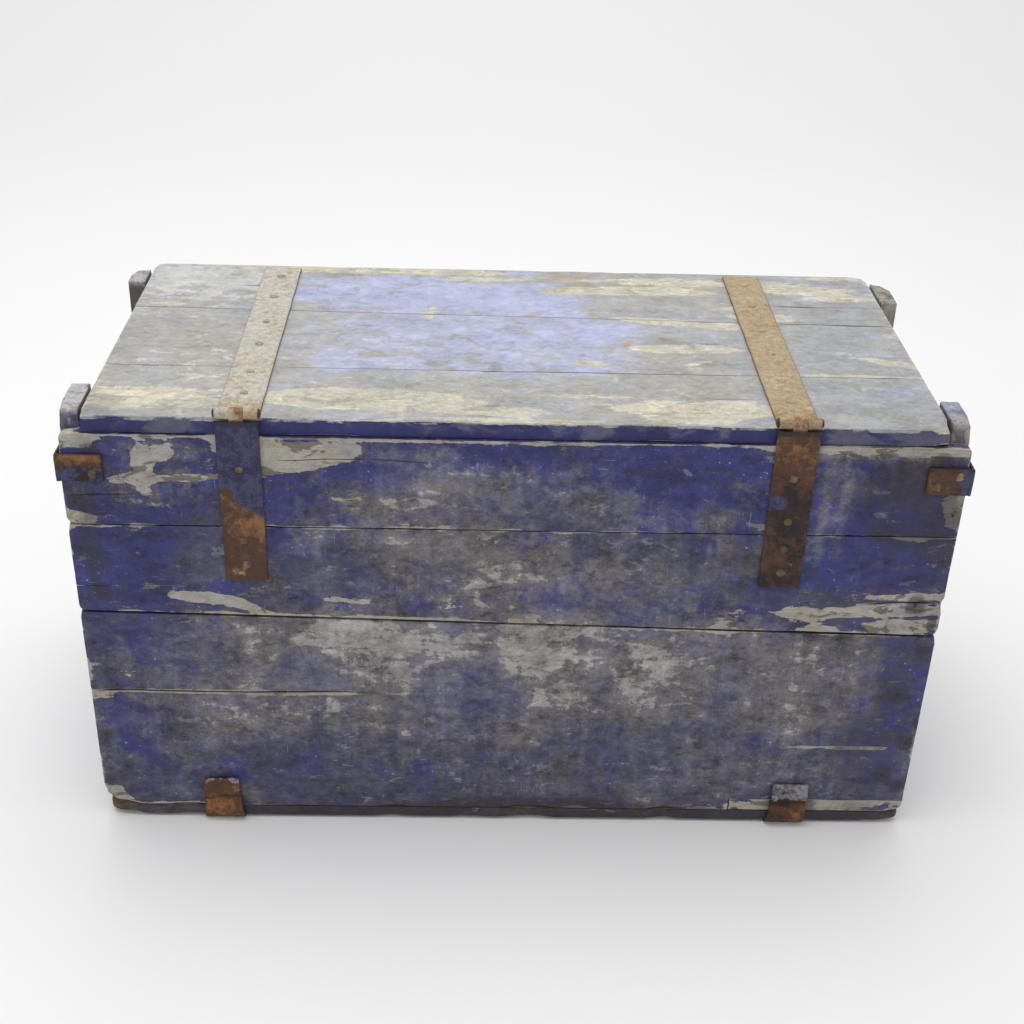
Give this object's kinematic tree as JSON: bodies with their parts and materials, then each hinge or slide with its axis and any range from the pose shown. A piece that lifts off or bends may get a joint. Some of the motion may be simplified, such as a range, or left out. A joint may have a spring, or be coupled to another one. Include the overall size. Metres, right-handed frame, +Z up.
{
  "type": "plank transport chest",
  "caption": "Old plank footlocker with a hinged lid between corner battens, iron strap hinges, corner and bottom irons, a hasp and drop handles.",
  "frame": {"origin": "on the floor under the middle of the wooden chest", "axes": "+X along the length, +Y towards the latch side, away from the strap hinges, +Z up"},
  "size_m": [0.7676, 0.3633, 0.4345],
  "materials": {
    "painted_boards": "worn blue paint over grey weathered wood, matte",
    "lid_boards": "sun-bleached blue-grey paint worn to bare pale wood, matte",
    "battens": "thin faded blue paint on sawn wood, matte",
    "bare_wood": "bare aged softwood, matte",
    "lid_iron": "pale brown rust, matte",
    "painted_iron": "blue paint over dark orange rust, matte",
    "rusty_iron": "dark orange-brown rust, rough",
    "nails": "rusty clout and cut nail heads, rough"
  },
  "bodies": {
    "chest": {"batten_hinge_left": "battens", "batten_hinge_right": "battens", "batten_latch_left": "battens", "batten_latch_right": "battens", "bottom_board_hinge_side": "bare_wood", "bottom_board_latch_side": "bare_wood", "bottom_board_middle": "bare_wood", "bottom_board_nails": "nails", "bottom_strap_left": "rusty_iron", "bottom_strap_nails": "nails", "bottom_strap_right": "rusty_iron", "corner_iron_hinge_left": "rusty_iron", "corner_iron_hinge_right": "rusty_iron", "corner_iron_latch_left": "rusty_iron", "corner_iron_latch_right": "rusty_iron", "corner_iron_nails": "nails", "end_board_nails": "nails", "handle_eyes_left": "rusty_iron", "handle_eyes_right": "rusty_iron", "hasp_nails": "nails", "hasp_pin": "rusty_iron", "hasp_plate": "rusty_iron", "hinge_leaf_left": "painted_iron", "hinge_leaf_nails": "nails", "hinge_leaf_right": "painted_iron", "hinge_pin_left": "rusty_iron", "hinge_pin_right": "rusty_iron", "hinge_side_board_lower": "painted_boards", "hinge_side_board_middle": "painted_boards", "hinge_side_board_upper": "painted_boards", "latch_side_board_lower": "painted_boards", "latch_side_board_middle": "painted_boards", "latch_side_board_upper": "painted_boards", "left_end_board_lower": "painted_boards", "left_end_board_middle": "painted_boards", "left_end_board_upper": "painted_boards", "repair_lath": "painted_boards", "right_end_board_lower": "painted_boards", "right_end_board_middle": "painted_boards", "right_end_board_upper": "painted_boards", "side_board_nails": "nails"},
    "lid": {"lid_board_hinge_side": "lid_boards", "lid_board_latch_side": "lid_boards", "lid_board_middle": "lid_boards", "lid_cleat_left": "bare_wood", "lid_cleat_right": "bare_wood", "lid_staple": "rusty_iron", "lid_strap_left": "lid_iron", "lid_strap_nails": "nails", "lid_strap_right": "lid_iron"},
    "hasp": {"hasp_leaf": "rusty_iron"},
    "left_handle": {"handle_left": "rusty_iron"},
    "right_handle": {"handle_right": "rusty_iron"}
  },
  "joints": [
    {"name": "lid_hinge", "type": "hinge", "parent": "chest", "child": "lid", "pos_m": [0, -0.172, 0.4299], "axis": [1, 0, 0], "range_deg": [0, 230]},
    {"name": "hasp_hinge", "type": "hinge", "parent": "chest", "child": "hasp", "pos_m": [0, 0.1787, 0.37225], "axis": [1, 0, 0], "range_deg": [0, 180]},
    {"name": "left_handle_swing", "type": "hinge", "parent": "chest", "child": "left_handle", "pos_m": [-0.3715, 0, 0.292], "axis": [0, 1, 0], "range_deg": [-4, 184]},
    {"name": "right_handle_swing", "type": "hinge", "parent": "chest", "child": "right_handle", "pos_m": [0.3715, 0, 0.292], "axis": [0, -1, 0], "range_deg": [-4, 184]}
  ]
}
